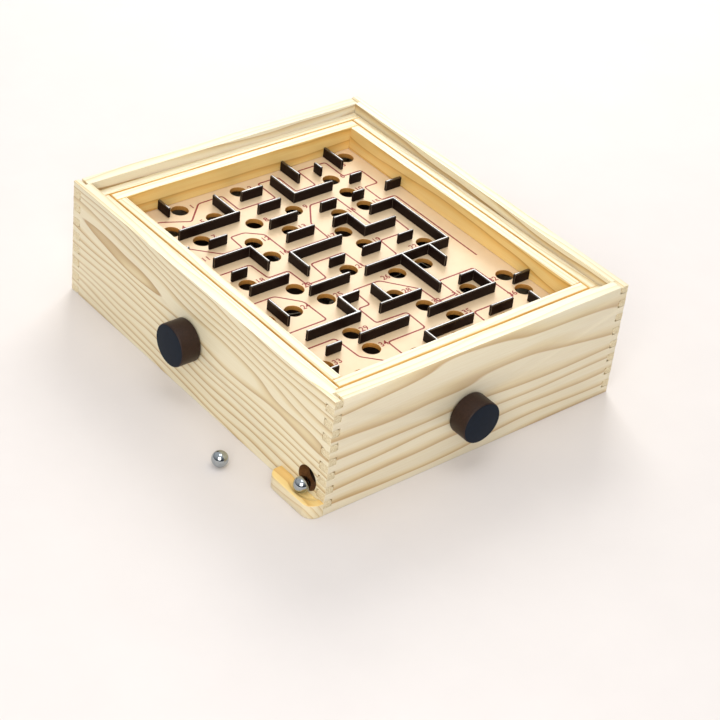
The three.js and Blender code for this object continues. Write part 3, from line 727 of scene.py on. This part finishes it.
class TILTMAZE_OT_print(bpy.types.Operator):
    """Add the printed route line and the hole numbers"""

    bl_idname = "tiltmaze.print"
    bl_label = "Board Print"

    def execute(self, context):
        sizes = context.scene.tilt_maze
        route = np.array([(CENTRE.x + x * MM, CENTRE.y + row * ROW + HOLE_LIFT) for x, row in ROUTE])
        line = self.filleted(route, sizes.line_corner)
        tip_length, ink = 0.5 * MM, 0.05 * MM
        tips = [line[a] + (line[b] - line[a]) / np.linalg.norm(line[b] - line[a]) * tip_length
                for a, b in ((0, 1), (-1, -2))]
        line = np.concatenate([line[:1], tips[:1], line[1:-1], tips[1:], line[-1:]])
        half = sizes.line_width / 2
        heading = np.gradient(line, axis=0)
        heading /= np.linalg.norm(heading, axis=1, keepdims=True)
        side = np.stack([-heading[:, 1], heading[:, 0]], -1)
        # The ink's section: flat underneath and faintly domed, narrowing to nothing at both ends.
        section = np.array([(-1, 0), (-0.6, 1), (0.6, 1), (1, 0)])
        ends = np.ones(len(line))
        ends[[0, -1]] = 0.02
        across = line[:, None] + side[:, None] * (section[:, 0] * half)[None, :, None] * ends[:, None, None]
        height = np.broadcast_to(BOARD_HIGH.z + section[:, 1] * ink, across.shape[:2])
        points = np.concatenate([across, height[..., None]], -1).reshape(-1, 3)
        piece = make_object("printed_route", points, grid_faces(len(line), 4), ("print",), smooth=False)
        weld(piece)
        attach(piece, "inner_frame")
        self.numbers(context, sizes)
        return {"FINISHED"}

    @staticmethod
    def filleted(points, radius, steps=6):
        """A polyline with each corner replaced by an arc: a quadratic curve from a point one
        cut before the corner to a point one cut after it, with the corner as its control."""
        before, corner, after = points[:-2], points[1:-1], points[2:]
        back, ahead = before - corner, after - corner
        back_length = np.linalg.norm(back, axis=1, keepdims=True)
        ahead_length = np.linalg.norm(ahead, axis=1, keepdims=True)
        start = corner + back / back_length * np.minimum(radius, back_length * 0.45)
        end = corner + ahead / ahead_length * np.minimum(radius, ahead_length * 0.45)
        t = np.linspace(0, 1, steps)[None, :, None]
        curve = (1 - t) ** 2 * start[:, None] + 2 * t * (1 - t) * corner[:, None] + t ** 2 * end[:, None]
        return np.concatenate([points[:1], curve.reshape(-1, 2), points[-1:]])

    @staticmethod
    def strip_points():
        """(x, y) points along the edges of the frame's strips and the lines of the short ones."""
        share = np.linspace(0, 1, 21)[:, None, None]
        found = []
        for mesh in (NODES[node].data for node in NODES if node.startswith("maze_wall_")):
            start, end = mesh_points(mesh)[edge_ends(mesh), :2].transpose(1, 0, 2)
            found.append((start + (end - start) * share).reshape(-1, 2))
        short = np.array(SHORT_STRIPS, float).reshape(-1, 2, 2) * (MM, ROW)
        short += np.array(CENTRE[:2])
        found.append((short[:, 0] + (short[:, 1] - short[:, 0]) * share).reshape(-1, 2))
        return np.concatenate(found)

    @staticmethod
    def numbers(context, sizes):
        """Each hole's number beside it, in the built-in plain letterform, as one flat piece."""
        verts, faces, offset = [], [], 0
        holes = hole_centres()
        taken = TILTMAZE_OT_print.strip_points()
        angle = np.radians(np.arange(0, 360, 15))
        off_rim, margin, enough, beside = 4.6 * MM, 6 * MM, 5 * MM, 0.4 * MM
        size_for_height, bolder, ink = 1.35, 0.14 * MM, 0.04 * MM
        around = (sizes.hole_radius + off_rim) * np.stack([np.cos(angle), np.sin(angle)], -1)
        low = np.array(BOARD_LOW[:2]) + margin
        high = np.array(BOARD_HIGH[:2]) - margin
        for i, hole in enumerate(holes):
            # The number goes where the nearest hole's rim or strip is furthest, beside first.
            spots = hole + around
            rims = np.linalg.norm(spots[:, None] - np.delete(holes, i, 0), axis=2).min(1) - sizes.hole_radius
            strips = np.linalg.norm(spots[:, None] - taken, axis=2).min(1)
            inside = np.minimum(spots - low, high - spots).min(1)
            room = np.minimum(np.minimum(rims, strips), enough) + np.minimum(inside, 0) * 3
            x, y = spots[np.argmax(room + beside * np.abs(np.cos(angle)))]
            text = bpy.data.curves.new("number", "FONT")
            text.body = str(i + 1)
            text.size = sizes.digit_height * size_for_height
            text.align_x = "CENTER"
            text.align_y = "CENTER"
            text.resolution_u = 3
            text.offset = bolder
            mesh = mesh_of(text)
            points = mesh_points(mesh) + (x, y, BOARD_HIGH.z + ink)
            verts.append(points)
            faces += [[v + offset for v in face.vertices] for face in mesh.polygons]
            offset += len(points)
        mesh = bpy.data.meshes.new("printed_numbers")
        mesh.from_pydata(np.concatenate(verts).tolist(), [], faces)
        mesh.materials.append(finish("digits"))
        piece = bpy.data.objects.new("printed_numbers", mesh)
        context.scene.collection.objects.link(piece)
        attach(piece, "inner_frame")


class TILTMAZE_OT_strips(bpy.types.Operator):
    """Add the maze strips with rounded gloss edges"""

    bl_idname = "tiltmaze.strips"
    bl_label = "Maze Strips"

    def execute(self, context):
        sizes = context.scene.tilt_maze
        for node in sorted(n for n in NODES if n.startswith("maze_wall_")):
            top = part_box(node)[1].z

            def weight(middle, top=top, foot=8.5 * MM, shoulder=1 * MM):
                """Rounded along the top, eased at the ends, and crisp where it meets the board."""
                below = top - middle[:, 2]
                return np.where(below > foot, 0.1, np.where(below > shoulder, 0.4, 1.0))

            piece = eased_copy(node, ("strip", "strip_edge"), weight, sizes.strip_edge, segments=4)
            piece.modifiers["eased edges"].material = 1
            paint_faces(piece, 1, face_data(piece.data)[1][:, 2] > 0.9)
        low_z, high_z = (corner.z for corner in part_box("maze_wall_02"))
        half = sizes.strip_width / 2
        for i, (x0, row0, x1, row1) in enumerate(SHORT_STRIPS):
            y0, y1 = sorted((CENTRE.y + row0 * ROW, CENTRE.y + row1 * ROW))
            upright = x0 == x1
            low = (CENTRE.x + min(x0, x1) * MM - half * upright, y0 - half, low_z)
            high = (CENTRE.x + max(x0, x1) * MM + half * upright, y1 + half, high_z)
            piece = rounded_bar(f"short_maze_wall_{i + 1:02d}", low, high, sizes.strip_edge,
                                ("strip", "strip_edge"))
            paint_faces(piece, 1, face_data(piece.data)[1][:, 2] > 0.3)
            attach(piece, "inner_frame")
        return {"FINISHED"}


class TILTMAZE_OT_knobs(bpy.types.Operator):
    """Add the two turned knobs"""

    bl_idname = "tiltmaze.knobs"
    bl_label = "Knobs"

    def execute(self, context):
        bore_depth, bore_slack, ease = 12 * MM, 0.3 * MM, 1.3 * MM
        for side, axis in (("left", 0), ("front", 1)):
            node = f"{side}_knob"
            low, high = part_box(node)
            other = 1 - axis
            radius = (high[other] - low[other]) / 2
            long = high[axis] - low[axis]
            shaft_low, shaft_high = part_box(f"{side}_shaft")
            bore = (shaft_high.z - shaft_low.z) / 2 + bore_slack
            outer = arc((radius - ease, long - ease), ease, 0, 90, 7)
            inner = arc((radius - ease, ease), ease, -90, 0, 7)
            profile = np.concatenate([
                [(0, bore_depth), (bore, bore_depth), (bore, 0)], inner, outer, [(0, long)]])
            centre = [0.0, 0.0, (low.z + high.z) / 2]
            centre[other] = (low[other] + high[other]) / 2
            profile[:, 1] *= -1
            centre[axis] = high[axis]
            piece = turned(f"{node}_turned", profile, centre, "XY"[axis], ("barrel", "face"))
            middle, normal = face_data(piece.data)
            flat = (normal[:, axis] < -0.9) & (middle[:, axis] < low[axis] + 0.5 * MM)
            paint_faces(piece, 1, flat)
            self.sharpen(piece)
            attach(piece, f"{side}_drive")
            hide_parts(node)
        return {"FINISHED"}

    @staticmethod
    def sharpen(piece):
        """Keeps the edges sharper than 50 degrees crisp."""
        sharp = edge_angles(piece.data) > math.radians(50)
        attribute = piece.data.attributes.new("sharp_edge", "BOOLEAN", "EDGE")
        attribute.data.foreach_set("value", sharp)


class TILTMAZE_OT_metal(bpy.types.Operator):
    """Finish the shafts, clips, pivot pins and screw eyes"""

    bl_idname = "tiltmaze.metal"
    bl_label = "Steel Parts"

    def execute(self, context):
        for name, node in NODES.items():
            if any(word in name for word in ("shaft", "pivot", "eye")):
                node.data.materials.clear()
                node.data.materials.append(finish("steel"))
        return {"FINISHED"}


class TILTMAZE_OT_cords(bpy.types.Operator):
    """Add the drive cords, their turns round the shafts and their springs"""

    bl_idname = "tiltmaze.cords"
    bl_label = "Drive Cords"

    def execute(self, context):
        sizes = context.scene.tilt_maze
        drives = (
            ("outer", "left_shaft", 1, 1.05 * MM, "box", "outer_frame", "back", "front"),
            ("inner", "front_shaft", 0, 1.6 * MM, "outer_frame", "inner_frame", "right", "left"),
        )
        turn_pitch, turns = 1.25 * MM, 2
        eye_rise, knot_gap, spring_gap, hook_gap = 2.9 * MM, 3.2 * MM, 16.6 * MM, 3.6 * MM
        for name, shaft, axis, clear, near_body, far_body, sprung, plain in drives:
            low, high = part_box(shaft)
            turn_axis = 1 - axis
            hub = np.array([(low[k] + high[k]) / 2 for k in range(3)])
            reach = (high.z - low.z) / 2 + clear
            cord_low, cord_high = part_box(f"{name}_cord")
            hub[turn_axis] = (cord_low[turn_axis] + cord_high[turn_axis]) / 2
            step = np.zeros(3)
            step[turn_axis] = turn_pitch
            across = np.zeros(3)
            across[turn_axis] = 1.0
            for side, shift in ((sprung, -1), (plain, 1)):
                eye_low, eye_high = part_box(f"{name}_eye_{side}")
                end = hub + shift * step
                end[axis] = (eye_low[axis] + eye_high[axis]) / 2
                end[2] = eye_low.z + eye_rise
                start = hub + shift * step - np.array([0, 0, reach])
                along = end - start
                length = np.linalg.norm(along)
                stop = 1 - (knot_gap + (spring_gap if side == sprung else 0)) / length
                t = np.linspace(0.0, stop, 40)[:, None]
                strand = tube(f"{name}_cord_{side}", start + along * t, sizes.cord_radius, across, "cord")
                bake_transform(strand)
                if side == sprung:
                    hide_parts(f"{name}_cord")
                    hook = end - along / length * hook_gap
                    coil = self.coil(f"{name}_spring_coil", start + along * stop, hook)
                    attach(coil, far_body)
                    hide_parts(f"{name}_spring")
            angle = np.linspace(0, 2 * math.pi * turns, 48 * turns)
            wound = np.repeat(hub[None], len(angle), 0)
            wound[:, axis] += reach * np.sin(angle) * (1 if axis else -1)
            wound[:, 2] -= reach * np.cos(angle)
            wound += step * np.linspace(1, -1, len(angle))[:, None]
            winding = tube(f"{name}_cord_turns", wound, sizes.cord_radius, across, "cord")
            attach(winding, "box")
        return {"FINISHED"}

    @staticmethod
    def coil(name, start, end):
        """A close-wound spring: a helix about the line from start to end, with a straight lead
        at each end. The radius grows from nothing over the first and last quarter turn."""
        turns, wire, radius = 11, 0.3 * MM, 1.15 * MM
        t = np.linspace(0, 1, turns * 16)
        along = end - start
        forward = along / np.linalg.norm(along)
        side = np.cross((0, 0, 1), forward)
        side /= np.linalg.norm(side)
        up = np.cross(forward, side)
        swell = radius * np.clip(np.minimum(t, 1 - t) * turns * 2, 0, 1)
        angle = 2 * math.pi * turns * t
        path = start + along * t[:, None] + swell[:, None] * (
            np.cos(angle)[:, None] * side + np.sin(angle)[:, None] * up)
        return tube(name, path, wire, forward * 0.3 + up * 0.01 + side * 0.02, "steel", 6)


class TILTMAZE_OT_balls(bpy.types.Operator):
    """Add the two polished steel balls"""

    bl_idname = "tiltmaze.balls"
    bl_label = "Steel Balls"

    def execute(self, context):
        for node in ("steel_ball_tray", "steel_ball_loose"):
            low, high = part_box(node)
            centre = (low + high) / 2
            radius = (high.z - low.z) / 2
            profile = arc((0, 0), radius, -90, 90, 49)
            profile[[0, -1], 0] = 0
            piece = turned(f"{node}_polished", profile, centre, "Z", ("ball",))
            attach(piece, NODES[node]["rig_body"])
            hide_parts(node)
        return {"FINISHED"}


class TILTMAZE_OT_stage(bpy.types.Operator):
    """Add the table, the soft studio lights and the camera"""

    bl_idname = "tiltmaze.stage"
    bl_label = "Stage"

    def execute(self, context):
        table_half, table_drop = 6.0, 0.2 * MM
        corners = np.array([(-1, -1), (1, -1), (1, 1), (-1, 1)]) * table_half
        points = np.column_stack([corners, np.full(4, -table_drop)])
        make_object("table", points, [(0, 1, 2, 3)], ("table",), smooth=False)

        world = bpy.data.worlds.new("studio")
        world.use_nodes = True
        self.sky(world.node_tree)
        context.scene.world = world
        context.scene.view_settings.view_transform = "Standard"

        # The one behind the box is where its image lies in the tops of the gloss strips.
        self.softbox("back softbox", place=(0.92, 1.0, 1.12), size=0.85, watts=18.0, colour="#fffdf8")
        self.softbox("front fill", place=(-1.25, -1.15, 1.15), size=1.2, watts=23.0, colour="#fffdfa")
        self.softbox("overhead", place=(-0.1, -0.2, 1.9), size=1.0, watts=6.5, colour="#ffffff")

        # The viewer stands off the box's near corner and looks down at it with a long lens. The
        # turns are in degrees about X, Y and Z, and the one about Y rolls the view a little.
        left_of_box, before_box, eye_height = 0.7363, 0.8166, 0.9296
        turns, focal_length = (54.04, -5.65, -38.62), 102.2
        camera = bpy.data.cameras.new("camera")
        camera.sensor_width = 36.0
        camera.lens = focal_length
        camera.clip_start = 0.05
        viewer = bpy.data.objects.new("camera", camera)
        viewer.location = (BOX_LOW.x - left_of_box, BOX_LOW.y - before_box, eye_height)
        viewer.rotation_euler = Euler([math.radians(turn) for turn in turns])
        context.scene.collection.objects.link(viewer)
        context.scene.camera = viewer
        return {"FINISHED"}

    @staticmethod
    def sky(tree):
        """A studio room: bright overhead, grey at the horizon, and darker behind the viewer.
        The brightness is a ramp of the direction's height plus a little of its depth."""
        where = add_node(tree, "ShaderNodeTexCoord")
        split = add_node(tree, "ShaderNodeSeparateXYZ", inputs={"Vector": where.outputs["Generated"]})
        depth = add_node(tree, "ShaderNodeMath", {"operation": "MULTIPLY_ADD"}, {
            0: split.outputs["Y"], 1: 0.35, 2: split.outputs["Z"]})
        shade = ramp(tree, depth.outputs["Value"], ((0.0, "#5d5f63"), (0.35, "#a9abae"), (0.8, "#f6f7f9")))
        background = tree.nodes["Background"]
        tree.links.new(shade, background.inputs["Color"])
        background.inputs["Strength"].default_value = 0.75

    @staticmethod
    def softbox(name, place, size, watts, colour):
        """A square area light that faces the middle of the box."""
        light = bpy.data.lights.new(name, "AREA")
        light.size = size
        light.energy = watts
        light.color = linear(colour)[:3]
        lamp = bpy.data.objects.new(name, light)
        lamp.location = place
        lamp.rotation_euler = (CENTRE - Vector(place)).to_track_quat("-Z", "Y").to_euler()
        bpy.context.scene.collection.objects.link(lamp)


class TILTMAZE_PT_panel(bpy.types.Panel):
    """The game's pieces and their sizes"""

    bl_idname = "TILTMAZE_PT_panel"
    bl_label = "Tilt Maze"
    bl_space_type = "VIEW_3D"
    bl_region_type = "UI"
    bl_category = "Tilt Maze"

    def draw(self, context):
        sizes = context.scene.tilt_maze
        for name in sizes.__annotations__:
            self.layout.prop(sizes, name)
        for operator in OPERATORS:
            self.layout.operator(operator.bl_idname)


OPERATORS = (
    TILTMAZE_OT_stage,
    TILTMAZE_OT_box,
    TILTMAZE_OT_tray,
    TILTMAZE_OT_frames,
    TILTMAZE_OT_board,
    TILTMAZE_OT_print,
    TILTMAZE_OT_strips,
    TILTMAZE_OT_knobs,
    TILTMAZE_OT_metal,
    TILTMAZE_OT_cords,
    TILTMAZE_OT_balls,
)
CLASSES = (TiltMazeSizes, *OPERATORS, TILTMAZE_PT_panel)


def register():
    for cls in CLASSES:
        bpy.utils.register_class(cls)
    bpy.types.Scene.tilt_maze = bpy.props.PointerProperty(type=TiltMazeSizes)


def unregister():
    del bpy.types.Scene.tilt_maze
    for cls in reversed(CLASSES):
        bpy.utils.unregister_class(cls)


def main():
    """Builds every piece in order."""
    register()
    for operator in OPERATORS:
        group, name = operator.bl_idname.split(".")
        if getattr(getattr(bpy.ops, group), name)() != {"FINISHED"}:
            raise RuntimeError(f"{operator.bl_label} was not finished")
    bpy.context.view_layer.update()


if __name__ == "__main__":
    main()
